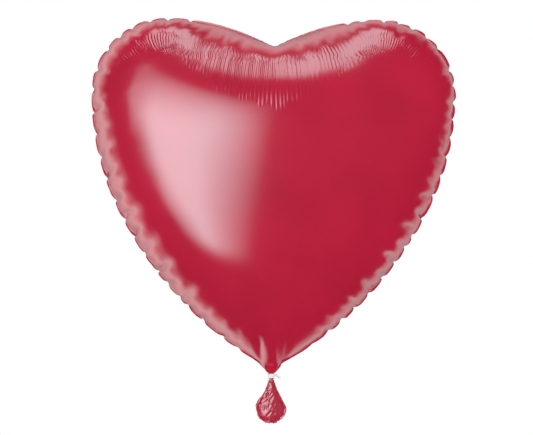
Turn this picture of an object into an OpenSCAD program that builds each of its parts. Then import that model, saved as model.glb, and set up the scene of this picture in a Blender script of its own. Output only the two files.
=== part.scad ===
// Heart-shaped foil balloon, inflated and tied off, with the puffed tail of its filling neck below the tie.
// Millimetres. Origin: centre of the tie, on the neck's axis. +Z up, X across the lobes, front faces -Y.

/* [Heart] */
// Width of the inflated heart across both lobes, over the seam's flange
heart_w = 380; // [300:5:480]
// Height of the lobe tops above the tie
heart_h = 373; // [300:5:460]
// Depth of the inflated heart, front to back
heart_d = 206; // [140:2:260]
// Height of the deepest place above the tie
belly_z = 225; // [180:5:270]
// Radius of the outer shoulder of each lobe
lobe_r = 81; // [60:1:100]
// Radius of the long crown that runs from a lobe's top into the cleft
crown_r = 200; // [170:5:300]
// Radius at the bottom of the cleft
cleft_r = 8; // [4:1:16]
// Slope of the straight lower edges, from the vertical
tip_deg = 50; // [45:1:56]

/* [Film] */
// Thickness of the modelled film, which stands in for the real 0.05
film = 0.6; // [0.4:0.05:1]
// Width of the heat-sealed flange round the heart
flange_w = 5; // [3:0.5:8]

/* [Valve] */
// Width of the two inner valve films
valve_w = 34; // [24:1:44]
// Length of the valve films above the tie
valve_l = 150; // [100:5:190]
// Thickness of each modelled valve film
valve_t = 0.4; // [0.3:0.05:0.6]
// Gap between the two valve films
valve_gap = 0.2; // [0.1:0.05:0.4]

/* [Neck and tie] */
// Diameter of the gathered film under the tie
neck_d = 6.4; // [5:0.2:8]
// Number of pleats round the gathered neck
pleats = 14; // [8:1:20]
// Depth of the pleats
pleat_h = 0.3; // [0.2:0.05:0.5]
// Width of the ribbon wound round the neck
tie_w = 5; // [4:0.2:7]
// Thickness of the ribbon's turns
tie_t = 1.1; // [0.8:0.1:1.6]
// How far the pulled-tight ribbon bites into the pleats
tie_bite = 0.1; // [0.05:0.05:0.2]
// Diameter of the ribbon's knot
knot_d = 3.2; // [2.4:0.2:4]
// Length of the ribbon's two cut ends
ribbon_end_l = 7; // [5:0.5:12]
// Width of the cut ends, crushed narrower by the knot
ribbon_end_w = 2; // [1.2:0.2:2.6]

/* [Tail] */
// Width of the puffed tail
tail_w = 32; // [24:1:40]
// Depth of the puffed tail, front to back
tail_d = 24; // [18:1:30]
// Distance from the tie's centre to the tail's lowest point
tail_l = 50; // [42:1:64]
// Diameter of the soft throat that the tail swings on
throat_d = 3.2; // [2.6:0.1:4]
// Clearance between pieces that turn on each other
turn_gap = 0.1; // [0.05:0.05:0.2]

/* [Hidden] */

RED = [0.71, 0.10, 0.19];
WHITE = [0.96, 0.95, 0.93];
CLEAR = [0.86, 0.88, 0.90];

// Neck, tie and the soft joint below them
neck_r = neck_d / 2;
neck_top = tie_w / 2;
collar_h = 1.6;
gather_over = 0.2;
neck_low = -tie_w / 2 - gather_over;
KNOT_DEG = 38;
END_T = 0.5;
tie_r = neck_r - tie_bite;
throat_r = throat_d / 2;
stub_h = 1.8;
stub_tip_r = 0.5;
pivot_z = neck_low - turn_gap - stub_h - turn_gap - throat_r;

// Heart outline: lobe, crown, cleft and side arcs, each tangent to the next
lobe_x = heart_w / 2 - lobe_r;
lobe_z = heart_h - lobe_r;
side_r = ((lobe_z - neck_top) * sin(tip_deg) - (heart_w / 2 - neck_r) * cos(tip_deg)) / (1 - cos(tip_deg));
crown_z = heart_h - crown_r;
cleft_z = crown_z + sqrt(pow(crown_r + cleft_r, 2) - pow(lobe_x, 2));
cleft_deg = asin(lobe_x / (crown_r + cleft_r));
belly_r = (heart_w + heart_h) / 5;

// Tail outline: a round bulb with straight sides up to its mouth. The mouth's edge runs on a sphere
// round the throat.
socket_r = throat_r + 2 * turn_gap;
mouth_r = socket_r * 0.8 + film;
mouth_z = pivot_z - socket_r * 0.6;
tail_r = tail_w / 2;
bulb_z = tail_r - tail_l;
mouth_reach = norm([mouth_r, mouth_z - bulb_z]);
bulb_deg = atan2(mouth_z - bulb_z, mouth_r) - acos(tail_r / mouth_reach);
bulb_top_z = bulb_z + tail_r * sin(bulb_deg);
tail_flare = (tail_r * cos(bulb_deg) - mouth_r) / (mouth_z - bulb_top_z);

// Steps of the film's facets
EDGE_STEPS = 7;
SIDE_STEPS = 8;
LOBE_STEPS = 9;
CROWN_STEPS = 6;
CLEFT_STEPS = 2;
MOUTH_STEPS = 6;
DOME_STEPS = 9;
MOUTH_FADE = 8;

// ---- outlines, as [x, y, z] points, with y kept for the round mouth at the neck ----

function arc(x, z, r, from, to, steps) =
    [for (i = [1:steps]) let (a = from + (to - from) * i / steps) [x + r * cos(a), 0, z + r * sin(a)]];

function line(a, b, steps) = [for (i = [1:steps]) a + (b - a) * i / steps];

function flip(points) = [for (i = [len(points) - 1:-1:0]) [-points[i].x, points[i].y, points[i].z]];

// The half circle of film round the mouth, from left to right past the front
function mouth(r, z) =
    [for (i = [0:MOUTH_STEPS]) let (a = 180 + 180 * i / MOUTH_STEPS) [r * cos(a), r * sin(a), z]];

// Right half of the heart from the mouth up to the cleft, moved in by inset
function heart_side(r, z, inset) = let (
        start = [r, 0, z],
        side = arc(heart_w / 2 - side_r, lobe_z, side_r - inset, -tip_deg, 0, SIDE_STEPS),
        corner = [heart_w / 2 - side_r + (side_r - inset) * cos(tip_deg), 0,
            lobe_z - (side_r - inset) * sin(tip_deg)]
    ) concat(
        line(start, corner, EDGE_STEPS),
        side,
        arc(lobe_x, lobe_z, lobe_r - inset, 0, 90, LOBE_STEPS),
        arc(lobe_x, crown_z, crown_r - inset, 90, 90 + cleft_deg, CROWN_STEPS),
        arc(0, cleft_z, cleft_r + inset, cleft_deg - 90, -90, CLEFT_STEPS)
    );

// The whole heart, once round: mouth, right side, left side, with level as the height of its flat part
function heart_ring(r, z, inset, level) = let (
        side = heart_side(r, z, inset),
        whole = concat(side, flip([for (i = [0:len(side) - 2]) side[i]]))
    ) concat(mouth(r, z), [for (p = whole) [p.x, level, p.z]]);

// The tail's outline, once round from its mouth
function tail_ring(inset) = let (
        r = mouth_r - inset,
        start = [r, 0, mouth_z],
        end = [(tail_r - inset) * cos(bulb_deg), 0, bulb_z + (tail_r - inset) * sin(bulb_deg)],
        side = concat(line(start, end, EDGE_STEPS),
            arc(0, bulb_z, tail_r - inset, bulb_deg, -90, LOBE_STEPS))
    )
    concat([for (p = mouth(r, mouth_z)) [p.x, 0, p.z]], side, flip([for (i = [0:len(side) - 2]) side[i]]));

// ---- film surfaces over those outlines ----

// One ring of the heart's dome: 90 degrees at the seam, 0 at the deepest place. Inner rings grow rounder,
// and the round of the mouth dies out fast above the neck.
function dome_ring(seam, level, depth, a) = [for (p = seam) let (
        reach = norm([p.x, p.z - belly_z]),
        grow = sin(a) * (sin(a) + (1 - sin(a)) * belly_r / reach),
        mouth_y = (p.y - level) * pow(sin(a), MOUTH_FADE)
    ) [p.x * grow, level + mouth_y - depth * cos(a), belly_z + (p.z - belly_z) * grow]];

// Half-width of the tail at height z
function tail_half(z) = z > bulb_top_z
    ? mouth_r + (mouth_z - z) * tail_flare
    : sqrt(max(0, pow(tail_r, 2) - pow(z - bulb_z, 2)));

// Depth of the tail as a share of its width: round at the mouth, flatter from the bulb's centre down
function tail_share(z) = 1 + (tail_d / tail_w - 1) * min(1, (mouth_z - z) / (mouth_z - bulb_z));

// One ring of a tail half, whose cross-sections are half ellipses
function tail_dome_ring(outline, inset, a) = [for (p = outline) let (
        x = p.x * sin(a),
        z = bulb_z + (p.z - bulb_z) * sin(a),
        half = max(0.01, tail_half(z) - inset),
        deep = max(0, (half + inset) * tail_share(z) - inset)
    ) [x, -deep * sqrt(max(0, 1 - pow(x / half, 2))), z]];

// A bowl of film: outer rings from the edge to the pole, then inner rings from the pole back to the edge
module bowl(outer, outer_pole, inner, inner_pole) {
    rings = concat(outer, inner);
    n = len(rings[0]);
    m = len(outer);
    count = len(rings);
    points = concat([for (ring = rings) each ring], [outer_pole, inner_pole]);
    bands = [for (i = [0:count - 1]) if (i != m - 1) i];
    faces = concat(
        [for (i = bands, j = [0:n - 1], half = [0, 1]) let (k = (i + 1) % count, l = (j + 1) % n)
            half == 0 ? [i * n + j, k * n + j, k * n + l] : [i * n + j, k * n + l, i * n + l]],
        [for (j = [0:n - 1]) [(m - 1) * n + j, count * n, (m - 1) * n + (j + 1) % n]],
        [for (j = [0:n - 1]) [m * n + j, m * n + (j + 1) % n, count * n + 1]]
    );
    polyhedron(points, faces, convexity = 4);
}

module heart_half() {
    angles = [for (i = [0:DOME_STEPS - 1]) 90 * (1 - i / DOME_STEPS)];
    seam = heart_ring(neck_r + film, neck_top + collar_h, flange_w, -film);
    lining = heart_ring(neck_r, neck_top + collar_h + film, flange_w + film, 0);
    deep = heart_d / 2 - film;
    bowl(
        concat([heart_ring(neck_r - film, neck_top, 0, 0), heart_ring(neck_r, neck_top, 0, -film)],
            [for (a = angles) dome_ring(seam, -film, deep, a)]),
        [0, -heart_d / 2, belly_z],
        [for (i = [DOME_STEPS - 1:-1:0]) dome_ring(lining, 0, deep, angles[i])],
        [0, -deep, belly_z]
    );
}

module tail_half_shell() {
    angles = [for (i = [0:DOME_STEPS - 1]) 90 * (1 - i / DOME_STEPS)];
    bowl(
        [for (a = angles) tail_dome_ring(tail_ring(0), 0, a)],
        [0, -tail_d / 2, bulb_z],
        [for (i = [DOME_STEPS - 1:-1:0]) tail_dome_ring(tail_ring(film), film, angles[i])],
        [0, -tail_d / 2 + film, bulb_z]
    );
}

// A flat valve film, gathered to the neck's width at the bottom, in front of the middle plane
module valve_film() {
    base_r = neck_r - film - 0.2;
    half_w = valve_w / 2;
    collar_z = neck_top + collar_h;
    flare_z = neck_top + valve_w;
    end_z = neck_top + valve_l;
    translate([0, -valve_gap / 2, 0])
        rotate([90, 0, 0])
            linear_extrude(valve_t)
                polygon([[-base_r, neck_top], [base_r, neck_top], [base_r, collar_z], [half_w, flare_z],
                    [half_w, end_z], [-half_w, end_z], [-half_w, flare_z], [-base_r, collar_z]]);
}

// ---- sub-parts ----

module front_panel() {
    color(RED) heart_half();
}

module back_panel() {
    color(RED) mirror([0, 1, 0]) heart_half();
}

module valve_film_front() {
    color(CLEAR) valve_film();
}

module valve_film_back() {
    color(CLEAR) mirror([0, 1, 0]) valve_film();
}

// The film drawn together into pleats where the ribbon squeezes it
module neck_gather() {
    color(RED)
        translate([0, 0, neck_low])
            linear_extrude(neck_top - neck_low)
                polygon([for (i = [0:pleats * 6 - 1]) let (
                        a = i * 60 / pleats,
                        r = neck_r - pleat_h * (1 - cos(a * pleats)) / 2
                    ) [r * cos(a), r * sin(a)]]);
}

// Ribbon wound round the neck, with its knot and two cut ends behind, to the right
module tie_ribbon() {
    color(WHITE) {
        rotate_extrude($fn = 96)
            translate([tie_r, -tie_w / 2])
                square([tie_t + tie_bite, tie_w]);
        rotate([0, 0, KNOT_DEG])
            translate([neck_r + tie_t + knot_d / 4, 0, 0]) {
                sphere(d = knot_d, $fn = 48);
                for (side = [-1, 1])
                    rotate([30 * side, 6, 20 * side])
                        translate([0, -ribbon_end_w / 2, -END_T / 2])
                            cube([ribbon_end_l, ribbon_end_w, END_T]);
            }
    }
}

// The first stretch of film under the tie, which turns with the tail
module neck_stub() {
    color(RED)
        translate([0, 0, neck_low - turn_gap - stub_h])
            cylinder(h = stub_h, r1 = stub_tip_r, r2 = neck_r - pleat_h, $fn = 48);
}

// The soft place where the film bends
module tail_throat() {
    color(RED)
        translate([0, 0, pivot_z])
            sphere(d = throat_d, $fn = 48);
}

module tail_front() {
    color(RED) tail_half_shell();
}

module tail_back() {
    color(RED) mirror([0, 1, 0]) tail_half_shell();
}

front_panel();
back_panel();
valve_film_front();
valve_film_back();
neck_gather();
tie_ribbon();
neck_stub();
tail_throat();
tail_front();
tail_back();
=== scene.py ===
"""Heart-shaped foil balloon: the looks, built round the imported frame.

The two film panels are cut flat, sealed along their edge, and inflated by a small film simulation, so the
puckers round the seam come from the film's own spare length. The tail below the tie is made the same way.
The simulation works in millimetres, and everything that goes into Blender is in metres.
"""

import math

import bpy
import numpy as np
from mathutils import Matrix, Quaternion, Vector
from mathutils.bvhtree import BVHTree
from mathutils.geometry import delaunay_2d_cdt
from mathutils.kdtree import KDTree

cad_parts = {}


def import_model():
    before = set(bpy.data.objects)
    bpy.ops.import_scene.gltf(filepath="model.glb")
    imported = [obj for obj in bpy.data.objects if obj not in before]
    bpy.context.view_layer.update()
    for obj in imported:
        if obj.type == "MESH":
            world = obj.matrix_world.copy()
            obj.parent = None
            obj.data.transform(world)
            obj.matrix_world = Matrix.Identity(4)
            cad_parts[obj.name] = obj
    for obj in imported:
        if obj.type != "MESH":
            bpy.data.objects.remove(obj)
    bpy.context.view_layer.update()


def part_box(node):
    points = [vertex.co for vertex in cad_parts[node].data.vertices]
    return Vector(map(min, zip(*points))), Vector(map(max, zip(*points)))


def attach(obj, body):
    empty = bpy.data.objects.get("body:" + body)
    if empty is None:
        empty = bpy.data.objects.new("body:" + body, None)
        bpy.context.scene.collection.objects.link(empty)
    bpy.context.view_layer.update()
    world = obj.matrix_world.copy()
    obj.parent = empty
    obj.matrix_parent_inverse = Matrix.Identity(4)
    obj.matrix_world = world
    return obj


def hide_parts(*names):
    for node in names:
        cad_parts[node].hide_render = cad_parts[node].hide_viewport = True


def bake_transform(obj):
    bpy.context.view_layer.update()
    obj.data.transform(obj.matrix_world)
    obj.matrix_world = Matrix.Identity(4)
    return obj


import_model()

MM = 0.001
SEED = 5

# ---- the flat film, in millimetres ----
# the flat heart's seam, up from the tie line: a straight collar, then a side, a lobe, a straight shoulder
# and a round notch, each touching the next
FLAT_NECK = np.array([15.0, 13.2])  # top of the collar
FLAT_HALF_W = 223.0
FLAT_LOBE_R = 119.0
FLAT_LOBE_Z = 310.0
FLAT_JOIN = math.radians(2.5)  # where the side meets the lobe, as an angle round the lobe
FLAT_CLEFT_Z = 426.0
FLAT_CLEFT_R = 8.0
NOTCH_STEPS = 20

FLANGE_W = 2.2            # width of the heat-sealed edge
FLANGE_ROWS = 2
SEAM_INSET = 1.7          # from the edge of the inflated, puckered flange in to the seam
FLANGE_LEAN = 0.7         # how far the flange leans back, for its width
CREASE_GAP = 0.12         # how far each layer of the flange stands off the plane between them

# the mesh: rows of points along the seam in a fine band, and a lattice inside that
ROW_GAP = 0.87            # from row to row, for the spacing along the row
ROW_KEPT = 0.97           # a row's points stay if they are this far from the seam, for the row's distance
BASE_GAP = 0.6            # least height above the tie line, for the spacing
FINE_SHARE = 0.45         # how much of the band keeps the rim's spacing
WIDENING = 0.6            # how far the spacing has widened at the band's inner edge
LATTICE_ROW = 0.866
LATTICE_GAP = 0.3         # from the band to the lattice, for the spacing
THINNED = 0.62            # nearer to each other than this, for their spacing, points are thinned out
CHUNK = 2000              # points that are measured against a line at a time

# mesh levels: spacing at the rim, spacing in the middle, width of the fine band
HEART_LEVELS = [(10, 10, 40), (5, 8, 60), (2.4, 6.5, 70)]
# stages of a level: steps, pressure, bending, compression, damping, how far the seam may stray
HEART_STAGES = [
    [(300, 0.002, 0.02, 0.02, 0.97, 0), (500, 0.0003, 0.02, 0.03, 0.95, 0),
     (300, 0.0001, 0.02, 0.03, 0.9, 0)],
    [(200, 0.0001, 0.02, 0.02, 0.93, 0)],
    [(300, 0.0001, 0.002, 0.9, 0.93, 1.0), (100, 0.0001, 0.005, 0.9, 0.9, 1.0)],
]
FORCE_EVERY = 4           # steps between two reckonings of the gas's push
START_OFF = 3.0           # how far each panel starts from the plane between them
START_NOISE = 0.1
CARRY_NOISE = 0.03
HEART_MOUTH_R = 3.0
HEART_PLEATS = 4
PLEAT_DEPTH = 0.28        # for the mouth's radius

# folds in the seam, with a smooth pillow between each two
FOLD_GAP = (15.0, 30.0)   # least and greatest distance between folds
FOLD_W = 3.5              # half width of a fold
FOLD_LOOSE = 3.0          # how much further the seam may stray at a fold
FOLD_START = 1.5          # depth of the folds that the simulation starts from
FOLD_REACH = 8.0
PILLOW_LOOSE = 0.35
IN_PLANE = 0.9            # how far the seam may draw in, beside how far it may leave its plane
LOBE_TOP_Z = 360.0
CROWN_FREE = 78.0         # half width of the smooth stretch between the lobes,
CROWN_FADE = 12.0         # how that ends sideways,
CROWN_DEEP = 60.0         # how far down from the seam it goes,
CROWN_DEEP_FADE = 20.0    # how that ends,
CROWN_LOOSE = 0.97        # and how freely the film is crushed there

# where the film resists being crushed: from this height, over this range, and least resistance
NECK_SLACK = (8.0, 45.0, 0.03)
TAIL_SLACK = (2.0, 10.0, 0.15)

TAIL_HALF_W = 18.5        # of the tail's round end, flat
TAIL_MOUTH_W = 8.0        # half the flat tail's width at the tie
TAIL_STRAIGHT = 30.0      # from the tie to the round end's centre
TAIL_STEP = 1.3
TAIL_BAND = 9.0
TAIL_FLANGE = 1.2
TAIL_MOUTH_R = 2.2
TAIL_PLEATS = 5
TAIL_CRUMPLE = 0.3        # how deep the crumples are that the simulation starts from,
CRUMPLE_WAVES = (6, 15)   # and how wide
TAIL_WRINKLE = 0.45       # how deep the fine creases are,
WRINKLE_WAVES = (4, 11)   # how wide,
WRINKLE_TIE = (3, 12)     # and how far they start from the tie
WRINKLE_SEAM = (0.8, 4)   # and from the seam
TAIL_STAGES = [(80, 0.0008, 0.002, 0.98, 0.93, 8), (60, 0.0003, 0.01, 0.98, 0.9, 8)]

# fine flutes across the film, between the lobes' tops and over the shoulders: along the seam from the
# cleft, where they start and end, inward from the seam, and how strong they are on the left and the right
FLUTE_AT = [-50, 0, 25, 50, 75, 100, 130, 150, 170, 200, 230, 260]
FLUTE_START = [70, 62, 55, 45, 42, 36, 33, 33, 33, 32, 32, 32]
FLUTE_END = [135, 130, 120, 110, 94, 80, 72, 66, 60, 62, 56, 50]
FLUTE_LEFT = [1, 1, 1, 1, 0.9, 0.8, 1, 0.9, 0.3, 0.8, 0.6, 0]
FLUTE_RIGHT = [0.5, 0.7, 0.6, 0.5, 0.7, 0.5, 0.4, 0.5, 0.2, 0.6, 0.2, 0]
FLUTE_W = 4.4             # usual width,
FLUTE_UNEVEN = 0.14       # how much that varies,
FLUTE_COUNT = 90          # how many there are on a side,
FLUTE_H = 0.46            # height,
FLUTE_HIGH = (0.45, 1.15)   # and how that varies,
FLUTE_EARLY = (-5, 5)     # as their starts
FLUTE_LATE = (-8, 5)      # and their ends do
FLUTE_FADE = (12, 10)     # how gently they start and end
FLUTE_MARGIN = 8          # how far beyond them the mesh is fine
FLUTE_LOW_Z = 200
FLUTE_STEP = 1.0          # longest edge where there are flutes
FLUTE_ROUNDS = 2
PAST_CLEFT = 70           # how far the shoulder's line is led on past the cleft

# how strongly and how often the inflated mesh is smoothed: all of it, then what is far from the seam
SMOOTH_ALL = (0.35, 5)
SMOOTH_MIDDLE = (0.5, 12)
MIDDLE = (30, 50)

# ---- the balloon, in millimetres from the tie's centre ----
TIE_TOP = 2.5             # half height of the ribbon round the neck
TAIL_TOP = -2.65
TAIL_LONG = 47.15
BEND_Z = -6.3             # where the tail's film bends, and where it is cut into two pieces
NECK_END, THROAT_START = -3.4, -5.7  # heights that bound the film between the neck and the throat
THROAT_END, TAIL_START = -7.0, -10.0  # heights that bound the film between the throat and the tail

# the inflated heart's edge, as arcs that touch each other
EDGE_W = 380.5
EDGE_H = 373.0
LOBE_R = 78.3
CROWN_R = 224.7
CLEFT_R = 8.0
SIDE_R = 274.4
SIDE_TURN = math.radians(26.3)
TIP = np.array([15.6, 15.2])
NECK = np.array([3.2, 2.5])


def arc(centre, radius, start, end, steps):
    """Points along an arc, angles in radians."""
    t = np.linspace(start, end, steps)
    return np.stack([centre[0] + radius * np.cos(t), centre[1] + radius * np.sin(t)], 1)


def touching_arc(start, centre, radius, angle):
    """An arc from a point up to a circle, touching it at an angle."""
    way = np.array([math.cos(angle), math.sin(angle)])
    d = centre - start
    k = (d @ d - radius ** 2) / (2 * (radius + d @ way))
    middle = centre - k * way
    x, z = start - middle
    return arc(middle, radius + k, math.atan2(z, x), angle, 200)


def heart_edge():
    """The inflated heart's edge as points 1 mm apart, with outward normals: x, z, normal x, normal z."""
    lobe = np.array([EDGE_W / 2 - LOBE_R, EDGE_H - LOBE_R])
    upper = np.array([EDGE_W / 2 - SIDE_R, lobe[1]])
    crown_turn = math.asin(lobe[0] / (CROWN_R + CLEFT_R))
    crown = np.array([lobe[0], EDGE_H - CROWN_R])
    cleft = np.array([0, crown[1] + (CROWN_R + CLEFT_R) * math.cos(crown_turn)])
    right = np.concatenate([
        np.linspace(NECK, TIP, 10)[:-1],
        touching_arc(TIP, upper, SIDE_R, -SIDE_TURN),
        arc(upper, SIDE_R, -SIDE_TURN, 0, 100)[1:],
        arc(lobe, LOBE_R, 0, math.pi / 2, 100)[1:],
        arc(crown, CROWN_R, math.pi / 2, math.pi / 2 + crown_turn, 100)[1:],
        arc(cleft, CLEFT_R, crown_turn - math.pi / 2, -math.pi / 2, 10)[1:],
    ])
    line = resample(np.concatenate([right, right[::-1][1:] * [-1, 1]]), 1.0)
    return np.concatenate([line - [0, NECK[1]], -inward(line)], 1)


def flat_heart():
    """Right half of the flat heart's seam, from the tie line up to the cleft."""
    lobe = np.array([FLAT_HALF_W - FLAT_LOBE_R, FLAT_LOBE_Z])
    side = touching_arc(FLAT_NECK, lobe, FLAT_LOBE_R, FLAT_JOIN)
    d = lobe - np.array([0.0, FLAT_CLEFT_Z])
    slope = math.atan2(d[1], d[0]) + math.asin(FLAT_LOBE_R / np.linalg.norm(d))
    shoulder = arc(lobe, FLAT_LOBE_R, FLAT_JOIN, slope + math.pi / 2, 200)
    notch_z = FLAT_CLEFT_Z + FLAT_CLEFT_R / math.cos(slope)
    notch = arc((0, notch_z), FLAT_CLEFT_R, slope - math.pi / 2, -math.pi / 2, NOTCH_STEPS)
    collar = np.stack([np.full(10, FLAT_NECK[0]), np.linspace(0, FLAT_NECK[1], 10)], 1)
    return np.concatenate([collar[:-1], side, shoulder[1:], notch])


def flat_tail():
    """Right half of the flat tail's seam, from the tie line to its round end, drawn upwards."""
    slope = math.atan2(TAIL_HALF_W - TAIL_MOUTH_W, TAIL_STRAIGHT)
    side_end = np.array([TAIL_HALF_W * math.cos(slope), TAIL_STRAIGHT + TAIL_HALF_W * math.sin(-slope)])
    side = np.linspace([TAIL_MOUTH_W, 0], side_end, 40)
    return np.concatenate([side[:-1], arc((0, TAIL_STRAIGHT), TAIL_HALF_W, -slope, math.pi / 2, 80)])


def lengths_along(line):
    """Length along the line to each of its points."""
    return np.concatenate([[0], np.cumsum(np.linalg.norm(np.diff(line, axis=0), axis=1))])


def columns_at(at, lengths, columns):
    """Each column's value at some lengths."""
    return np.stack([np.interp(at, lengths, column) for column in columns.T], -1)


def resample(line, step):
    """The line again, with points about `step` apart."""
    gaps = np.linalg.norm(np.diff(line, axis=0), axis=1)
    line = line[np.concatenate([[True], gaps > 1e-9])]
    s = lengths_along(line)
    t = np.linspace(0, s[-1], max(4, round(s[-1] / step)) + 1)
    return columns_at(t, s, line)


def nearest_on(line, points):
    """Each point's distance from the line, the line's segment nearest to it, and how far along that."""
    a, d = line[:-1], np.diff(line, axis=0)
    gap, segment, share = (np.empty(len(points), kind) for kind in (float, int, float))
    for k in range(0, len(points), CHUNK):
        p = points[k:k + CHUNK, None]
        t = np.clip(((p - a) * d).sum(2) / (d * d).sum(1), 0, 1)
        square = ((p - a - t[..., None] * d) ** 2).sum(2)
        best = square.argmin(1)
        rows = np.arange(len(best))
        gap[k:k + CHUNK] = np.sqrt(square[rows, best])
        segment[k:k + CHUNK] = best
        share[k:k + CHUNK] = t[rows, best]
    return gap, segment, share


def distance(points, line):
    """Each point's distance from the line."""
    return nearest_on(line, points)[0]


def inside(points, poly):
    """True for each point inside the polygon."""
    x, z = points.T
    odd = np.zeros(len(points), bool)
    for (x0, z0), (x1, z1) in zip(poly, np.roll(poly, 1, axis=0)):
        crosses = (z0 > z) != (z1 > z)
        odd ^= crosses & (x < (x1 - x0) * (z - z0) / (z1 - z0 + 1e-30) + x0)
    return odd


def crossed(p, q):
    """The cross product of each two flat vectors."""
    return p[:, 0] * q[:, 1] - p[:, 1] * q[:, 0]


def search_tree(points):
    """A search tree of flat points."""
    tree = KDTree(len(points))
    for i, p in enumerate(points):
        tree.insert((p[0], p[1], 0), i)
    tree.balance()
    return tree


def nearest_of(line, points):
    """The index of the line's point nearest to each flat point."""
    tree = search_tree(line)
    return np.array([tree.find((p[0], p[1], 0))[1] for p in points])


def unit(vectors):
    """The vectors at length 1."""
    return vectors / np.linalg.norm(vectors, axis=1)[:, None]


def inward(line):
    """Unit normals of the line, to its left."""
    t = np.gradient(line, axis=0)
    return unit(np.stack([-t[:, 1], t[:, 0]], 1))


class Film:
    """Two flat layers that share a seam, with a flange outside it. Points are (x, z) on the flat film."""

    def __init__(self, half, h_rim, h_mid, band, flange):
        right = resample(half, h_rim)
        left = right[::-1][1:] * [-1, 1]
        self.seam = seam = np.concatenate([right, left])
        count = max(2, round((seam[0, 0] - seam[-1, 0]) / h_rim))
        base_x = np.linspace(seam[-1, 0], seam[0, 0], count + 1)[1:-1]
        base = np.stack([base_x, np.full(count - 1, seam[0, 1])], 1)
        poly = np.concatenate([seam, base])
        points = np.concatenate([poly, self.fill(seam, poly, h_rim, h_mid, band)])
        found = delaunay_2d_cdt([Vector(p) for p in points], [], [list(range(len(poly)))], 1, 1e-5)
        self.flat = np.array([tuple(v) for v in found[0]])
        tris = np.array(found[2], int)
        a, b, c = (self.flat[tris[:, k]] for k in range(3))
        area = crossed(b - a, c - a)
        tris[area < 0] = tris[area < 0][:, ::-1]
        tris = tris[np.abs(area) > 1e-6]
        n = len(self.flat)
        self.ns, self.npoly = len(seam), len(poly)
        self.twin = np.concatenate([np.arange(self.ns), np.arange(n, 2 * n - self.ns)])
        self.front, self.back = tris, self.twin[tris][:, ::-1]
        rest, rim = [self.flat, self.flat[self.ns:]], []
        edge, total = np.arange(self.ns), 2 * n - self.ns
        for row in range(1, FLANGE_ROWS + 1):
            rest.append(seam - inward(seam) * flange * row / FLANGE_ROWS)
            new = np.arange(total, total + self.ns)
            total += self.ns
            rim.append(np.stack([edge[:-1], new[:-1], new[1:]], 1))
            rim.append(np.stack([edge[:-1], new[1:], edge[1:]], 1))
            edge = new
        self.rim = np.concatenate(rim)
        self.rest = np.concatenate(rest)
        self.inset = distance(self.rest, seam)
        self.edge = np.concatenate([np.arange(self.ns), np.arange(2 * n - self.ns, total)])

    @staticmethod
    def fill(seam, poly, h_rim, h_mid, band):
        """Points inside: rows along the seam, then an even lattice, thinned where rows meet."""
        fine = resample(seam, 1.0)
        normal = inward(fine)
        rows, h, d = [], h_rim, h_rim * ROW_GAP
        while d < band:
            row = resample(fine + normal * d, h)
            row = row[inside(row, poly)]
            clear = (distance(row, seam) > d * ROW_KEPT) & (row[:, 1] > poly[:, 1].min() + h * BASE_GAP)
            rows.append(row[clear])
            h = h_rim + (h_mid - h_rim) * WIDENING * max(0, (d / band - FINE_SHARE) / (1 - FINE_SHARE)) ** 1.5
            d += h * ROW_GAP
        low, high = poly.min(0), poly.max(0)
        columns = np.arange(low[0], high[0], h_mid)
        lattice = []
        for i, z in enumerate(np.arange(low[1], high[1], h_mid * LATTICE_ROW)):
            lattice.append(np.stack([columns + (h_mid / 2) * (i % 2), np.full(len(columns), z)], 1))
        lattice = np.concatenate(lattice)
        lattice = lattice[inside(lattice, poly)]
        lattice = lattice[distance(lattice, seam) > band + LATTICE_GAP * h_mid]
        points = np.concatenate(rows + [lattice])
        between = h_rim + (h_mid - h_rim) * WIDENING
        steps = [0, band * FINE_SHARE, band, band + 1]
        sizes = np.interp(distance(points, seam), steps, [h_rim, h_rim, between, h_mid])
        tree = search_tree(points)
        dead = np.zeros(len(points), bool)
        for i, p in enumerate(points):
            if not dead[i]:
                for _, j, _ in tree.find_range((p[0], p[1], 0), THINNED * sizes[i]):
                    dead[j] |= j > i
        return points[~dead]


# ---- the film simulation ----
def sides_of(tris):
    """Each triangle's sides, as sorted pairs of points: everyone's first side, then second, then third."""
    return np.sort(np.concatenate([tris[:, [0, 1]], tris[:, [1, 2]], tris[:, [2, 0]]]), 1)


def corners_across(tris):
    """The corner across from each side, in the order of sides_of."""
    return np.concatenate([tris[:, 2], tris[:, 0], tris[:, 1]])


def edges_of(tris):
    """Every edge once."""
    return np.unique(sides_of(tris), axis=0)


def hinges_of(tris):
    """The two far corners across each inner edge."""
    edges, far = sides_of(tris), corners_across(tris)
    order = np.lexsort((edges[:, 1], edges[:, 0]))
    edges, far = edges[order], far[order]
    same = np.where((edges[1:] == edges[:-1]).all(1))[0]
    return np.stack([far[same], far[same + 1]], 1)


def summed(index, vectors, n):
    """The vectors with each index added up, for indices up to n."""
    return np.stack([np.bincount(index, vectors[:, k], n) for k in range(3)], 1)


def colours(pairs, n):
    """Groups of pairs in which no point comes twice."""
    used, group = [0] * n, np.empty(len(pairs), int)
    for k, (a, b) in enumerate(pairs.tolist()):
        free = ~(used[a] | used[b])
        bit = free & -free
        group[k] = bit.bit_length() - 1
        used[a] |= bit
        used[b] |= bit
    return [np.where(group == g)[0] for g in range(group.max() + 1)]


class Guide:
    """The line that a seam and its flange keep to. Points slide along it freely."""

    def __init__(self, film, x, line, loose):
        nearest = np.maximum.accumulate(nearest_of(line, x[:film.ns, ::2]))
        self.line = line
        self.at = np.tile(nearest.astype(float), 1 + FLANGE_ROWS)
        self.loose = np.tile(loose, 1 + FLANGE_ROWS)
        rows = np.arange(-FLANGE_ROWS, 1) / FLANGE_ROWS * SEAM_INSET
        self.out = np.repeat(rows, film.ns)


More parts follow.
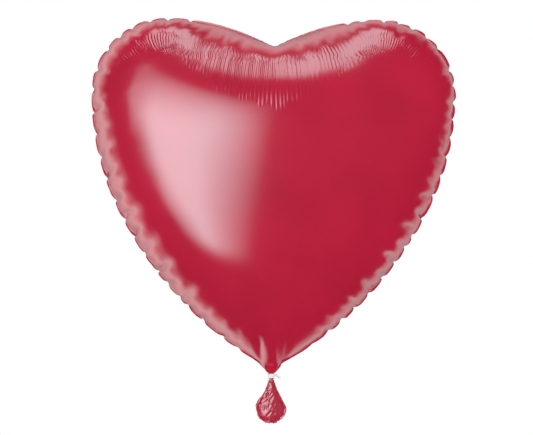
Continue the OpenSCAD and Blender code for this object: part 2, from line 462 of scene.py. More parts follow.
def keep_to(guide, p, edge, sway):
    """Brings the seam and flange back to within `sway` of their line, in its plane and out of it."""
    span = np.arange(len(guide.line))
    x, z, nx, nz = (np.interp(guide.at, span, column) for column in guide.line.T)
    dx, dz = p[edge, 0] - x, p[edge, 2] - z
    guide.at += np.clip(dz * nx - dx * nz, -1, 1)
    off = dx * nx + dz * nz - guide.out
    limit = sway * guide.loose
    back = np.clip(off, -limit * IN_PLANE, sway * PILLOW_LOOSE) - off
    p[edge, 0] += nx * back
    p[edge, 2] += nz * back
    p[edge, 1] = np.clip(p[edge, 1], -limit, limit)


def inflate(film, x, pinned, places, stages, slack, guide=None):
    """The film under gas pressure. slack is 0 where it crushes freely, and 1 where it holds its length.

    A stage's sway is how far the seam may leave its plane, and with a guide, also its line."""
    n = len(x)
    x = x.astype(np.float32)
    free = np.ones(n, np.float32)
    free[pinned] = 0
    skin = np.concatenate([film.front, film.back])
    edges = edges_of(np.concatenate([skin, film.rim]))
    hinges = np.concatenate([hinges_of(t) for t in (film.front, film.back, film.rim)])
    sets = []
    for pairs, is_hinge in ((edges, False), (hinges, True)):
        length = np.linalg.norm(film.rest[pairs[:, 0]] - film.rest[pairs[:, 1]], axis=1).astype(np.float32)
        for g in colours(pairs, n):
            i, j = pairs[g].T
            total = free[i] + free[j] + 1e-9
            weights = (free[i] / total)[:, None], (free[j] / total)[:, None]
            hold = np.minimum(slack[i], slack[j]).astype(np.float32)
            sets.append((i, j, length[g], *weights, is_hinge, hold))
    corner = skin.T.ravel()
    edge = film.edge
    v = np.zeros_like(x)
    step = 0
    for steps, pressure, bend, comp, damp, sway in stages:
        for _ in range(steps):
            if step % FORCE_EVERY == 0:
                a, b, c = (x[skin[:, k]] for k in range(3))
                push = np.cross(b - a, c - a) * (pressure / 6)
                force = (summed(corner, np.tile(push, (3, 1)), n) * free[:, None]).astype(np.float32)
            step += 1
            p = x + v * damp + force
            p[pinned] = places
            for i, j, rest_length, wi, wj, is_hinge, hold in sets:
                d = p[i] - p[j]
                length = np.sqrt(np.einsum("ij,ij->i", d, d)) + 1e-9
                gap = length - rest_length
                if is_hinge:
                    gap = np.minimum(gap, 0) * (bend * hold)
                else:
                    gap = np.where(gap < 0, gap * (comp * hold), gap)
                d *= (gap / length)[:, None]
                p[i] -= d * wi
                p[j] += d * wj
            if guide is None:
                p[edge, 1] = np.clip(p[edge, 1], -sway, sway)
            else:
                keep_to(guide, p, edge, sway)
            v = p - x
            x = p
    return x.astype(float)


def carry(coarse, x, fine, rng, noise):
    """The coarse film's shape on the finer film, with a little noise to buckle from."""
    out = np.zeros((len(fine.rest), 3))
    flat = np.concatenate([coarse.flat, np.zeros((len(coarse.flat), 1))], 1)
    tree = BVHTree.FromPolygons([tuple(p) for p in flat], [tuple(t) for t in coarse.front.tolist()])
    tri = np.empty(len(fine.flat), int)
    spot = np.empty((len(fine.flat), 2))
    for i, p in enumerate(fine.flat):
        found = tree.find_nearest((p[0], p[1], 0))
        spot[i], tri[i] = found[0][:2], found[2]
    a, b, c = (coarse.flat[coarse.front[tri, k]] for k in range(3))
    area = crossed(b - a, c - a)
    u = crossed(spot - a, c - a) / area
    w = crossed(b - a, spot - a) / area
    weights = np.stack([1 - u - w, u, w], 1)[..., None]
    out[:len(fine.flat)] = (x[coarse.front[tri]] * weights).sum(1)
    back = (x[coarse.twin[coarse.front[tri]]] * weights).sum(1)
    out[fine.twin[fine.ns:]] = back[fine.ns:]
    s0, s1 = np.linspace(0, 1, coarse.ns), np.linspace(0, 1, fine.ns)
    base_c, base_f = 2 * len(coarse.flat) - coarse.ns, 2 * len(fine.flat) - fine.ns
    for row in range(FLANGE_ROWS):
        old = x[base_c + row * coarse.ns:base_c + (row + 1) * coarse.ns]
        out[base_f + row * fine.ns:base_f + (row + 1) * fine.ns] = columns_at(s1, s0, old)
    return out + rng.normal(0, noise, out.shape)


def gathered(film, mouth_r, pleats):
    """The points of the tie line, and the pleated ring that they are pulled into."""
    at = np.concatenate([[0], np.arange(film.ns - 1, film.npoly)])
    turn = film.flat[at, 0] / film.flat[0, 0]
    reach = mouth_r * (1 - PLEAT_DEPTH + PLEAT_DEPTH * np.cos(turn * pleats * math.pi))
    angle = turn * math.pi / 2
    place = np.stack([reach * np.sin(angle), -reach * np.cos(angle), np.zeros(len(at))], 1)
    return np.concatenate([at, film.twin[at[2:]]]), np.concatenate([place, place[2:] * [1, -1, 1]])


def resistance(film, start, span, least):
    """How much the film resists being crushed: little at its mouth."""
    return np.clip((film.rest[:, 1] - start) / span, least, 1)


def heart_slack(film):
    """How much the heart's film resists being crushed: little at the neck and between the lobes' tops."""
    x, z = np.abs(film.rest).T
    near = np.clip((CROWN_FREE - x) / CROWN_FADE, 0, 1)
    near *= np.clip((CROWN_DEEP - film.inset) / CROWN_DEEP_FADE, 0, 1)
    near *= z > film.seam[:, 1].max() - CROWN_DEEP
    return resistance(film, *NECK_SLACK) * (1 - CROWN_LOOSE * near)


def fold_places(film, rng):
    """Where the seam folds: lengths along it, uneven, with none on the smooth stretch between the lobes."""
    s = lengths_along(film.seam)
    places = []
    at = FOLD_GAP[0]
    while at < s[-1] - FOLD_GAP[0]:
        x, z = columns_at(at, s, film.seam)
        if abs(x) > CROWN_FREE or z < LOBE_TOP_Z:
            places.append(at)
        at += rng.uniform(*FOLD_GAP)
    return np.array(places + [s[-1] / 2])


def fold_shape(film, places):
    """1 at each fold and 0 away from it, along the seam, and the fold nearest to each seam point."""
    off = lengths_along(film.seam)[:, None] - places
    nearest = np.abs(off).argmin(1)
    return np.exp(-(off[np.arange(len(off)), nearest] / FOLD_W) ** 2), nearest


def start_folds(film, x, rng, places):
    """Starts each fold off, to one side of the seam's plane or the other."""
    shape, which = fold_shape(film, places)
    side = rng.choice([-1.0, 1.0], len(places))
    near = nearest_of(film.seam, film.rest)
    fade = np.exp(-film.inset / FOLD_REACH) * shape[near]
    x[:, 1] += FOLD_START * side[which[near]] * fade
    x[:, ::2] += FOLD_START * inward(x[:film.ns, ::2])[near] * fade[:, None]


def blown_heart():
    """The inflated heart: the finest film and its points."""
    rng = np.random.default_rng(SEED)
    half = flat_heart()
    line = heart_edge()
    levels = HEART_LEVELS
    film = x = guide = None
    for (h_rim, h_mid, band), stages in zip(levels, HEART_STAGES):
        coarse, film = film, Film(half, h_rim, h_mid, band, FLANGE_W)
        if coarse is None:
            x = np.stack([film.rest[:, 0], np.zeros(len(film.rest)), film.rest[:, 1]], 1)
            x[film.ns:len(film.flat), 1] = -START_OFF
            x[film.twin[film.ns:], 1] = START_OFF
            x += rng.normal(0, START_NOISE, x.shape)
            places = fold_places(film, rng)
        else:
            x = carry(coarse, x, film, rng, CARRY_NOISE)
            guide = Guide(film, x, line, PILLOW_LOOSE + FOLD_LOOSE * fold_shape(film, places)[0])
        if (h_rim, h_mid, band) == HEART_LEVELS[-1]:
            start_folds(film, x, rng, places)
        slack = heart_slack(film)
        pinned, ring = gathered(film, HEART_MOUTH_R, HEART_PLEATS)
        x = inflate(film, x, pinned, ring, stages, slack, guide)
    return film, x


def ripples(points, rng, shortest, longest, count=14):
    """Smooth uneven waves over flat points, about 1 high."""
    total = np.zeros(len(points))
    for _ in range(count):
        angle, phase = rng.uniform(0, 2 * math.pi, 2)
        wave = 2 * math.pi / rng.uniform(shortest, longest)
        total += np.sin(points @ [wave * math.cos(angle), wave * math.sin(angle)] + phase)
    return total / math.sqrt(count)


def blown_tail():
    """The tail's film: a flat bag below the tie, crumpled, then opened by a little gas. Drawn upwards."""
    rng = np.random.default_rng(SEED + 1)
    film = Film(flat_tail(), TAIL_STEP, TAIL_STEP * 1.2, TAIL_BAND, TAIL_FLANGE)
    crumples = TAIL_CRUMPLE * ripples(film.rest, rng, *CRUMPLE_WAVES)
    x = np.stack([film.rest[:, 0], crumples, film.rest[:, 1]], 1)
    for rows, off in ((np.arange(film.ns, len(film.flat)), -START_OFF), (film.twin[film.ns:], START_OFF)):
        x[rows, 1] += off + TAIL_CRUMPLE * ripples(film.flat[film.ns:], rng, *CRUMPLE_WAVES)
    pinned, ring = gathered(film, TAIL_MOUTH_R, TAIL_PLEATS)
    return film, inflate(film, x, pinned, ring, TAIL_STAGES, resistance(film, *TAIL_SLACK))


# ---- from film to pieces ----
def subdivided(points, tris, carried, chosen=None):
    """One step of Loop subdivision, of the chosen triangles or of all. Carried columns stay unsmoothed."""
    if chosen is None:
        chosen = np.ones(len(tris), bool)
    edges, where = np.unique(sides_of(tris), axis=0, return_inverse=True)
    where = where.ravel()
    n, m = len(points), len(edges)
    sides = where.reshape(3, -1)
    split = np.zeros(m, bool)
    split[sides[:, chosen]] = True
    inner = np.bincount(where, minlength=m) == 2
    ends = points[edges[:, 0]] + points[edges[:, 1]]
    across = summed(where, points[corners_across(tris)], m)
    middle = np.where(inner[:, None], ends * 0.375 + across * 0.125, ends / 2)

    def around(links):
        here, there = np.concatenate([links, links[:, ::-1]]).T
        return summed(here, points[there], n), np.bincount(here, minlength=n)[:, None]

    ring, valence = around(edges)
    weight = np.where(valence > 3, 3 / (8 * np.maximum(valence, 1)), 3 / 16)
    smooth = points * (1 - valence * weight) + ring * weight
    border, count = around(edges[~inner])
    smooth = np.where(count == 2, points * 0.75 + border * 0.125, np.where(count > 0, points, smooth))
    held = np.zeros(n, bool)
    held[tris[~chosen]] = True
    smooth[held] = points[held]
    index = n + np.cumsum(split) - 1
    faces = [tris[split[sides].sum(0) == 0]]
    for turn in range(3):
        a, b, c = np.roll(tris, -turn, axis=1).T
        ab, bc, ca = np.roll(index[sides], -turn, axis=0)
        on_ab, on_bc, on_ca = np.roll(split[sides], -turn, axis=0)
        one = on_ab & ~on_bc & ~on_ca
        two = on_ab & on_bc & ~on_ca
        whole = on_ab & on_bc & on_ca & (turn == 0)
        for rows, corners in ((one, [(a, ab, c), (ab, b, c)]),
                              (two, [(ab, b, bc), (a, ab, bc), (a, bc, c)]),
                              (whole, [(a, ab, ca), (b, bc, ab), (c, ca, bc), (ab, bc, ca)])):
            faces += [np.stack(corner, 1)[rows] for corner in corners]
    halfway = (carried[edges[:, 0]] + carried[edges[:, 1]]) / 2
    points = np.concatenate([smooth, middle[split]])
    return points, np.concatenate(faces), np.concatenate([carried, halfway[split]])


def relaxed(points, tris, amount, rounds):
    """Points pulled towards their neighbours' mean, by an amount for each, inner points only."""
    edges, counts = np.unique(sides_of(tris), axis=0, return_counts=True)
    here, there = np.concatenate([edges, edges[:, ::-1]]).T
    valence = np.bincount(here, minlength=len(points))
    hold = amount.copy()
    hold[edges[counts == 1].ravel()] = 0
    hold[valence == 0] = 0
    for _ in range(rounds):
        mean = summed(here, points[there], len(points)) / np.maximum(valence, 1)[:, None]
        points = points + (mean - points) * hold[:, None]
    return points


def normals_of(points, tris):
    """Unit normals at the points, each the mean of its triangles', weighted by their area."""
    a, b, c = (points[tris[:, k]] for k in range(3))
    total = summed(tris.T.ravel(), np.tile(np.cross(b - a, c - a), (3, 1)), len(points))
    return total / np.maximum(np.linalg.norm(total, axis=1), 1e-12)[:, None]


def compact(points, tris, carried):
    """Only the points that the triangles use."""
    used = np.unique(tris)
    place = np.full(len(points), -1)
    place[used] = np.arange(len(used))
    return points[used], place[tris], carried[used]


def add_object(name, data):
    """A new object in the scene."""
    thing = bpy.data.objects.new(name, data)
    bpy.context.scene.collection.objects.link(thing)
    return thing


def mesh_piece(name, points, faces, material):
    """A smooth-shaded piece, from lists. Points are in metres."""
    mesh = bpy.data.meshes.new(name)
    mesh.from_pydata(points, [], faces)
    mesh.polygons.foreach_set("use_smooth", [True] * len(mesh.polygons))
    mesh.materials.append(material)
    mesh.update()
    return add_object(name, mesh)


# ---- materials ----
def new_material(name, values):
    """A material, its node tree, and its shader with the given values set."""
    material = bpy.data.materials.new(name)
    material.use_nodes = True
    shader = material.node_tree.nodes["Principled BSDF"]
    for socket, value in values.items():
        shader.inputs[socket].default_value = value
    return material, material.node_tree, shader


def add_node(tree, kind, inputs, **settings):
    """A new node. Numbers are set on its inputs, and other nodes' outputs are linked to them."""
    node = tree.nodes.new("ShaderNode" + kind)
    for name, value in settings.items():
        setattr(node, name, value)
    for socket, value in inputs.items():
        if isinstance(value, bpy.types.NodeSocket):
            tree.links.new(value, node.inputs[socket])
        else:
            node.inputs[socket].default_value = value
    return node


def own_place(tree):
    """The object's own coordinates, in metres."""
    return add_node(tree, "TexCoord", {}).outputs["Object"]


def noise(tree, scale, detail=3.0):
    """Noise over the object's own coordinates."""
    inputs = {"Vector": own_place(tree), "Scale": scale, "Detail": detail}
    return add_node(tree, "TexNoise", inputs).outputs["Fac"]


def spread(tree, value, low, high, from_low=0.0, from_high=1.0):
    """The value, brought from one range to another and held within it."""
    inputs = {"Value": value, "From Min": from_low, "From Max": from_high, "To Min": low, "To Max": high}
    return add_node(tree, "MapRange", inputs).outputs["Result"]


def surface(name, values, colours, tint, rough):
    """A material of two colours mixed by noise, with noise in its roughness too.

    tint is the noise's scale, detail, and values at the two colours. rough is scale, detail, low, high."""
    material, tree, shader = new_material(name, values)
    share = spread(tree, noise(tree, *tint[:2]), 0, 1, *tint[2:])
    inputs = {"Factor": share, "A": (*colours[0], 1), "B": (*colours[1], 1)}
    mix = add_node(tree, "Mix", inputs, data_type="RGBA")
    tree.links.new(mix.outputs["Result"], shader.inputs["Base Color"])
    tree.links.new(spread(tree, noise(tree, *rough[:2]), *rough[2:]), shader.inputs["Roughness"])
    return material, tree, shader


def relief(tree, shader, height, strength, depth):
    """Fine relief in the surface, depth in metres."""
    bump = add_node(tree, "Bump", {"Strength": strength, "Distance": depth, "Height": height})
    tree.links.new(bump.outputs["Normal"], shader.inputs["Normal"])


CRIMSON = (0.62, 0.0025, 0.042)
LIGHT_CRIMSON = (0.6944, 0.00325, 0.0483)


def red_foil(name, coat_roughness):
    """Film with a deep red lacquer: a strong, sharp reflection over a duller one, and a fine grain."""
    values = {"Metallic": 0.04, "IOR": 1.3, "Coat Weight": 1.0, "Coat IOR": 2.3,
              "Coat Roughness": coat_roughness}
    material, tree, shader = surface(
        name, values, (CRIMSON, LIGHT_CRIMSON), (14, 2, 0.35, 0.65), (60, 4, 0.29, 0.35))
    relief(tree, shader, noise(tree, 420, 3), 0.25, 0.12 * MM)
    return material


def white_satin():
    """Woven satin ribbon: fine ribs across it and a soft sheen."""
    material, tree, shader = surface(
        "white_satin", {"Sheen Weight": 0.5, "Sheen Roughness": 0.4},
        ((0.95, 0.94, 0.935), (0.99, 0.985, 0.98)), (900, 4, 0.3, 0.7), (1500, 2, 0.38, 0.55))
    inputs = {"Vector": own_place(tree), "Scale": 900, "Distortion": 1.5}
    ribs = add_node(tree, "TexWave", inputs, bands_direction="Z")
    relief(tree, shader, ribs.outputs["Fac"], 0.35, 0.05 * MM)
    return material


def clear_plastic():
    """Thin clear film with a faint haze and wrinkles."""
    material, tree, shader = surface(
        "clear_plastic_film", {"Alpha": 0.45, "IOR": 1.5},
        ((0.80, 0.83, 0.86), (0.90, 0.92, 0.94)), (60, 3, 0.3, 0.7), (120, 3, 0.12, 0.3))
    relief(tree, shader, noise(tree, 90, 3), 0.3, 0.3 * MM)
    return material


foil = red_foil("red_foil_film", 0.16)
creased_foil = red_foil("creased_foil_film", 0.28)   # too finely creased all over to mirror as sharply
clear_film = clear_plastic()

# ---- the heart ----
def upper_seam():
    """The right half of the flat heart's seam from the cleft down, led on straight past the cleft, and the
    length along it to each point, counted from the cleft."""
    line = flat_heart()[:1 - NOTCH_STEPS][::-1]
    way = line[0] - line[1]
    line = np.concatenate([[line[0] + way / np.linalg.norm(way) * PAST_CLEFT], line])
    s = lengths_along(line)
    return line, s - s[1]


def seam_place(flat):
    """For flat points: length along the seam from the cleft, and distance inward from it."""
    line, s = upper_seam()
    inset, segment, share = nearest_on(line, np.column_stack([np.abs(flat[:, 0]), flat[:, 1]]))
    return s[segment] + share * (s[segment + 1] - s[segment]), inset


def ramp(value, low, high):
    """0 below low, 1 above high, smooth between."""
    t = np.clip((value - low) / (high - low), 0, 1)
    return t * t * (3 - 2 * t)


def flute_lift(flat, rng):
    """Height of the flutes at flat points."""
    along, inset = seam_place(flat)
    lift = np.zeros(len(flat))
    for side, strength in ((-1, FLUTE_LEFT), (1, FLUTE_RIGHT)):
        at = FLUTE_AT[0] + np.cumsum(FLUTE_W * np.exp(rng.normal(0, FLUTE_UNEVEN, FLUTE_COUNT)))
        high = np.interp(at, FLUTE_AT, strength) * rng.uniform(*FLUTE_HIGH, len(at))
        start = np.interp(at, FLUTE_AT, FLUTE_START) + rng.uniform(*FLUTE_EARLY, len(at))
        end = np.interp(at, FLUTE_AT, FLUTE_END) + rng.uniform(*FLUTE_LATE, len(at))
        here = np.sign(flat[:, 0]) == side
        s, depth = along[here], inset[here]
        wave = np.cos(2 * math.pi * np.interp(s, at, np.arange(len(at))))
        first, last = np.interp(s, at, start), np.interp(s, at, end)
        reach = ramp(depth, first, first + FLUTE_FADE[0]) * (1 - ramp(depth, last - FLUTE_FADE[1], last))
        lift[here] = wave * reach * np.interp(s, at, high)
    return lift * FLUTE_H


def fluted_zone(flat):
    """True where the film has flutes."""
    along, inset = seam_place(flat)
    start, end = (np.interp(along, FLUTE_AT, depths) for depths in (FLUTE_START, FLUTE_END))
    zone = (inset > start - FLUTE_MARGIN) & (inset < end + FLUTE_MARGIN)
    return zone & (along < FLUTE_AT[-1]) & (flat[:, 1] > FLUTE_LOW_Z)


def longest_edge(points, tris):
    """The length of each triangle's longest side."""
    corners = points[tris]
    return np.linalg.norm(corners - np.roll(corners, 1, axis=1), axis=2).max(1)


front_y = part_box("front_panel")[0][1]
back_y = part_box("back_panel")[1][1]
film, blown = blown_heart()
deep = (back_y - front_y) / (blown[:, 1].max() - blown[:, 1].min())
blown = blown * [MM, deep, MM] + [0, 0, TIE_TOP * MM]
flange = np.unique(film.rim[np.isin(film.rim, np.arange(film.ns), invert=True)])
blown[flange, 1] += film.inset[flange] * FLANGE_LEAN * MM


def heart_piece(name, skin, rim, back):
    """One panel with its layer of the flange."""
    tris = np.concatenate([skin, rim])
    outside = np.zeros(len(film.rest))
    outside[rim.ravel()] = 1
    outside[:film.ns] = 0
    inset = np.where(outside > 0, -film.inset, film.inset)
    points, tris, carried = compact(blown, tris, np.column_stack([film.rest, inset]))
    amount, rounds = SMOOTH_ALL
    points = relaxed(points, tris, np.full(len(points), amount), rounds)
    amount, rounds = SMOOTH_MIDDLE
    points = relaxed(points, tris, amount * ramp(carried[:, 2], *MIDDLE), rounds)
    for _ in range(1):
        points, tris, carried = subdivided(points, tris, carried)
    for _ in range(FLUTE_ROUNDS):
        zone = fluted_zone(carried[:, :2])[tris].any(1)
        long = longest_edge(points, tris) > FLUTE_STEP * MM
        points, tris, carried = subdivided(points, tris, carried, zone & long)
    lift = np.clip(-carried[:, 2] / FLANGE_W * 2, 0, 1) * CREASE_GAP
    lift += flute_lift(carried[:, :2], np.random.default_rng(SEED + (3 if back else 2)))
    points = points + normals_of(points, tris) * lift[:, None] * MM
    piece = mesh_piece(name, points.tolist(), tris.tolist(), foil)
    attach(piece, "heart")
    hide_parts("back_panel" if back else "front_panel")


heart_piece("front_film", film.front, film.rim, False)
heart_piece("back_film", film.back, film.rim[:, ::-1], True)

# ---- the tail ----
def tail_pieces():
    """The film below the tie, in two pieces that meet where it bends."""
    film, x = blown_tail()
    tris = np.concatenate([film.front, film.back, film.rim])[:, ::-1]
    x = x * [1, 1, -TAIL_LONG / x[:, 2].max()] + [0, 0, TAIL_TOP]
    carried = np.column_stack([film.rest, film.inset])
    points, tris, carried = subdivided(*compact(x * MM, tris, carried))
    crease = 1 - 2 * np.abs(ripples(carried[:, :2], np.random.default_rng(SEED + 5), *WRINKLE_WAVES))
    depth = TAIL_WRINKLE * ramp(carried[:, 1], *WRINKLE_TIE) * ramp(carried[:, 2], *WRINKLE_SEAM) * MM
    points = points + normals_of(points, tris) * (np.clip(crease, -1.5, 1) * depth)[:, None]
    upper = points[tris].mean(1)[:, 2] > BEND_Z * MM
    for name, rows, bodies, start, end, nodes in (
            ("throat_film", upper, ("neck", "throat"), NECK_END, THROAT_START, ("neck_stub", "tail_throat")),
            ("tail_film", ~upper, ("throat", "tail"), THROAT_END, TAIL_START, ("tail_front", "tail_back"))):
        own, faces, _ = compact(points, tris[rows], carried)
        piece = mesh_piece(name, own.tolist(), faces.tolist(), creased_foil)
        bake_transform(piece)
        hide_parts(*nodes)


tail_pieces()

# ---- the ribbon, in millimetres ----
RIBBON_W = 1.8
RIBBON_T = 0.16
# half of its section's points, as shares of its half width and half thickness: cut edges, and a back that
# stands a little proud in the middle
RIBBON_SECTION = [(-1, -0.7), (-0.93, -1), (0.93, -1), (1, -0.7), (1, 0.7), (0.93, 1),
                  (0.4, 1.12), (-0.4, 1.12), (-0.93, 1), (-1, 0.7)]
NECK_R = 3.3
TURNS = 4.0
TURNS_Z = 1.55            # how far above and below the tie's centre the ribbon's middle line goes
LAP = 0.28                # how far a turn stands out where it lies on another,
SAG = 0.14                # how slack it is,
WANDER = 0.12             # how unevenly it is wound,
TILT = 0.1                # and how it tilts
KNOT_TURN = math.radians(38)  # where the knot is, round the neck
KNOT_R = 5.1
KNOT_IN = 0.3             # from that to the knot's middle
KNOT_LOOP = 0.55          # the knot's usual radius,
KNOT_WAVE = 0.32          # how much it goes in and out,
KNOT_DEEP = 0.55          # and to and fro
KNOT_W, KNOT_T = 1.1, 0.5  # the ribbon, crumpled together in the knot
END_FROM = (0.3, 0.4)     # where an end leaves the knot: outward, and to its own side
END_LONG = 6.6
END_WAY = (0.72, 0.42)    # how much of its length goes outward and sideways
END_PINCH = ([0, 0.12, 1], [0.45, 0.9, 1.0])  # its width along it, pinched by the knot
END_CURL = 0.45
END_WAVE = 0.25
END_DROOP = 1.5
END_RISE = 1.4            # how far one end rises and the other falls
END_SLANT = 0.9           # how slantwise the ends are cut


def swept(path, wide, thick, out):
    """A flat band along a path, as points and quads: half widths along `wide`, thickness along `out`."""
    rings = [path + wide * u + out * (v * thick / 2) for u, v in RIBBON_SECTION]
    points = np.stack(rings, 1).reshape(-1, 3)
    m, n = len(path), len(RIBBON_SECTION)
    quads = [(i * n + j, i * n + k, (i + 1) * n + k, (i + 1) * n + j)
             for i in range(m - 1) for j, k in enumerate([*range(1, n), 0])]
    quads += [tuple(range(n))[::-1], tuple(range((m - 1) * n, m * n))]
    return points, quads


def upright(vectors, way):
    """What of the vectors stands square to the way, at length 1."""
    return unit(vectors - way * (vectors * way).sum(1)[:, None])


def ribbon_turns(rng):
    """The ribbon wound round the neck, each turn lying partly over the last."""
    t = np.linspace(0, 1, 300)
    angle = KNOT_TURN + t * 2 * math.pi * TURNS
    layer = LAP * (1 - np.cos(t * 2 * math.pi * TURNS / 2)) / 2 + SAG * np.sin(t * 9) ** 2
    radius = NECK_R + RIBBON_T / 2 + layer
    z = -TURNS_Z + 2 * TURNS_Z * t + WANDER * np.interp(t * 12, np.arange(13), rng.normal(0, 1, 13))
    path = np.stack([radius * np.cos(angle), radius * np.sin(angle), z], 1)
    out = np.stack([np.cos(angle), np.sin(angle), np.zeros(len(t))], 1)
    lean = np.interp(t * 9, np.arange(10), rng.normal(0, TILT, 10))
    wide = (np.array([0, 0, 1]) + out * lean[:, None]) * RIBBON_W / 2
    return swept(path, wide, RIBBON_T, out)


def ribbon_knot():
    """An overhand knot, pulled tight: a flat band along a small threefold loop."""
    t = np.linspace(0, 2 * math.pi, 90)
    ring = KNOT_LOOP + KNOT_WAVE * np.cos(3 * t)
    middle = KNOT_R - KNOT_IN
    path = np.stack([KNOT_DEEP * np.sin(3 * t) + middle, ring * np.cos(2 * t), ring * np.sin(2 * t)], 1)
    way = unit(np.gradient(path, axis=0))
    out = upright(path - [middle, 0, 0], way)
    return swept(path, np.cross(way, out) * KNOT_W / 2, KNOT_T, out)


def ribbon_end(side):
    """One cut end, leaving the knot to one side, curling and drooping a little."""
    t = np.linspace(0, 1, 26)
    reach = END_LONG * t
    turn = side * END_CURL * t
    rise = side * END_RISE * t - END_DROOP * t ** 2 + END_WAVE * np.sin(t * 9 + side)
    outward = KNOT_R + END_FROM[0] + reach * np.cos(turn) * END_WAY[0]
    path = np.stack([outward, side * (END_FROM[1] + reach * END_WAY[1]), rise], 1)
    way = unit(np.gradient(path, axis=0))
    wide = upright(np.stack([np.zeros(len(t)), 0.5 * np.sin(t * 4), np.ones(len(t))], 1), way)
    half = np.interp(t, *END_PINCH)[:, None]
    points, quads = swept(path, wide * half, RIBBON_T, np.cross(way, wide))
    slant = END_SLANT / 2 * np.array([u if abs(u) < 0.9 else np.sign(u) for u, v in RIBBON_SECTION])
    points[-len(slant):] += way[-1] * slant[:, None]
    return points, quads


def ribbon():
    """The whole tie: turns, knot and ends, the last two turned to where the knot is."""
    rng = np.random.default_rng(SEED + 4)
    points, faces = ribbon_turns(rng)
    cos, sin = math.cos(KNOT_TURN), math.sin(KNOT_TURN)
    turn = np.array([[cos, sin, 0], [-sin, cos, 0], [0, 0, 1]])
    for more, quads in (ribbon_knot(), ribbon_end(-1), ribbon_end(1)):
        faces = faces + [tuple(k + len(points) for k in quad) for quad in quads]
        points = np.concatenate([points, more @ turn])
    piece = mesh_piece("ribbon_tie", (points * MM).tolist(), faces, white_satin())
    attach(piece, "heart")
    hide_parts("tie_ribbon")


ribbon()

# ---- carried-over nodes ----
bpy.data.objects["neck_gather"].material_slots[0].material = foil
for name in ("valve_film_front", "valve_film_back"):
    bpy.data.objects[name].material_slots[0].material = clear_film

# ---- studio, in metres ----
FLOOR_Z = -0.35
FLOOR_HALF = 2.5
AMBIENT = 1.0             # the even light that falls on the object
BACKDROP = 1.1            # what the film reflects of the white paper behind it,
BACKDROP_WAY = (-0.19, 1.0, -0.06)  # which way that lies, reaching further round on the left,
BACKDROP_EDGE = (0.41, 0.76)  # where it starts, along that way,
FAR_EDGE = (0.6, 0.9)
FAR_BACK = 0.35           # and how bright it still is straight behind the object
COOL = (0.68, 1.0, 1.04)  # the lamps' colour, a little cooler than the rest
VIEW_W = 0.557            # how wide the camera sees at the object,
VIEW_OFF = 2.2            # how far off it is,
VIEW_ROLL = math.radians(-0.5)
VIEW_X, VIEW_Z = -0.005, 0.1655  # and the middle of its view, before the roll


def floor_paper():
    """A plain pale floor, which the film doesn't reflect."""
    material, tree, shader = new_material("floor_paper", {"Roughness": 0.9})
    tree.links.new(spread(tree, noise(tree, 30), 0.87, 0.91), shader.inputs["Base Color"])
    half = FLOOR_HALF
    corners = [(x, y, FLOOR_Z) for x, y in ((-half, -half), (half, -half), (half, half), (-half, half))]
    floor = mesh_piece("floor", corners, [(0, 1, 2, 3)], material)
    floor.visible_glossy = False


def combined(tree, operation, first, second):
    """The result of one sum of two numbers or outputs."""
    return add_node(tree, "Math", {0: first, 1: second}, operation=operation).outputs[0]


def world():
    """An even light. Reflections see a white backdrop behind the object and a dim room in front of it."""
    scene_world = bpy.data.worlds.new("studio")
    bpy.context.scene.world = scene_world
    scene_world.use_nodes = True
    tree = scene_world.node_tree
    direction = add_node(tree, "TexCoord", {}).outputs["Generated"]
    axes = add_node(tree, "SeparateXYZ", {0: direction})
    towards = add_node(tree, "VectorMath", {0: direction, 1: BACKDROP_WAY}, operation="DOT_PRODUCT")
    rising = spread(tree, towards.outputs["Value"], 0, BACKDROP, *BACKDROP_EDGE)
    falling = spread(tree, axes.outputs["Y"], 1, FAR_BACK, *FAR_EDGE)
    path = add_node(tree, "LightPath", {}).outputs
    even = combined(tree, "MULTIPLY", path["Is Diffuse Ray"], AMBIENT)
    mirrored = combined(tree, "SUBTRACT", 1.0, path["Is Diffuse Ray"])
    level = combined(tree, "MULTIPLY", rising, falling)
    level = combined(tree, "MULTIPLY", level, mirrored)
    level = combined(tree, "ADD", level, even)
    level = combined(tree, "MAXIMUM", level, path["Is Camera Ray"])
    background = tree.nodes["Background"]
    tree.links.new(level, background.inputs["Strength"])
    background.inputs["Color"].default_value = (1, 1, 1, 1)


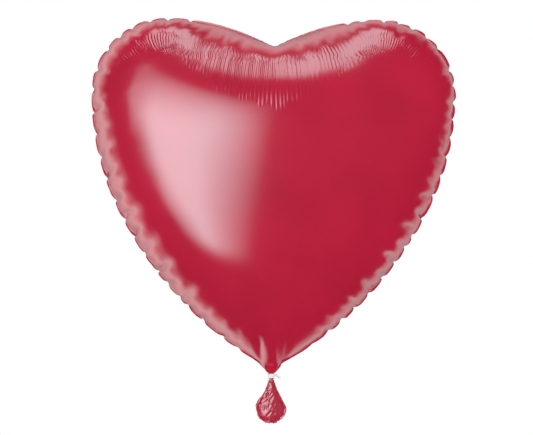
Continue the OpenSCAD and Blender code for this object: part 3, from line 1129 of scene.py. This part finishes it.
def softbox(name, place, target, size, radiance, soft, roll=0.0, corner=None):
    """A lamp of a given brightness, for reflections only: the world gives the even light.

    soft is how much of it fades out towards its left, right, bottom and top, and roll turns it about its own
    axis, in degrees. corner cuts off its lower left slantwise: how far it is dark, and where it is bright."""
    width, height = size
    data = bpy.data.lights.new(name, "AREA")
    data.shape = "RECTANGLE"
    data.size = width
    data.size_y = height
    data.energy = radiance * math.pi * width * height
    data.color = COOL
    data.use_nodes = True
    tree = data.node_tree
    place_on = add_node(tree, "NewGeometry", {}).outputs["Parametric"]
    spot = add_node(tree, "SeparateXYZ", {0: place_on}).outputs
    sides = []
    for axis, low_share, high_share in (("X", *soft[:2]), ("Y", *soft[2:])):
        low = spread(tree, spot[axis], 0, 1, 0.0, low_share)
        high = spread(tree, spot[axis], 1, 0, 1 - high_share, 1.0)
        sides.append(combined(tree, "MULTIPLY", low, high))
    level = combined(tree, "MULTIPLY", *sides)
    if corner:
        slant = combined(tree, "ADD", spot["X"], spot["Y"])
        level = combined(tree, "MULTIPLY", level, spread(tree, slant, 0, 1, *corner))
    tree.links.new(level, tree.nodes["Emission"].inputs["Strength"])
    lamp = add_object(name, data)
    lamp.location = place
    lamp.rotation_mode = "QUATERNION"
    facing = (Vector(target) - Vector(place)).to_track_quat("-Z", "Y")
    lamp.rotation_quaternion = facing @ Quaternion((0, 0, 1), math.radians(roll))
    lamp.visible_diffuse = False
    lamp.visible_camera = False


def camera():
    """Level, square on and far enough off for the lens to flatten the view, but for a slight roll."""
    right = Vector((math.cos(VIEW_ROLL), 0, -math.sin(VIEW_ROLL)))
    up = Vector((math.sin(VIEW_ROLL), 0, math.cos(VIEW_ROLL)))
    data = bpy.data.cameras.new("camera")
    data.sensor_width = 36
    data.lens = data.sensor_width * VIEW_OFF / VIEW_W
    thing = add_object("camera", data)
    thing.location = right * VIEW_X + up * VIEW_Z + Vector((0, -VIEW_OFF, 0))
    thing.rotation_euler = (math.pi / 2, VIEW_ROLL, 0)
    bpy.context.scene.camera = thing


floor_paper()
world()
softbox("window", (-1.05, -1.40, 0.26), (-0.06, -0.08, 0.20), size=(2.4, 3.4), radiance=2.8,
        soft=(0.24, 0.42, 0.12, 0.38), roll=-10, corner=(0.3, 0.75))
softbox("top", (0, 0.02, 2.1), (0, 0, 0.35), size=(2.0, 1.3), radiance=1.6, soft=(0.2, 0.2, 0.2, 0.2))
camera()
bpy.context.scene.view_settings.view_transform = "Standard"
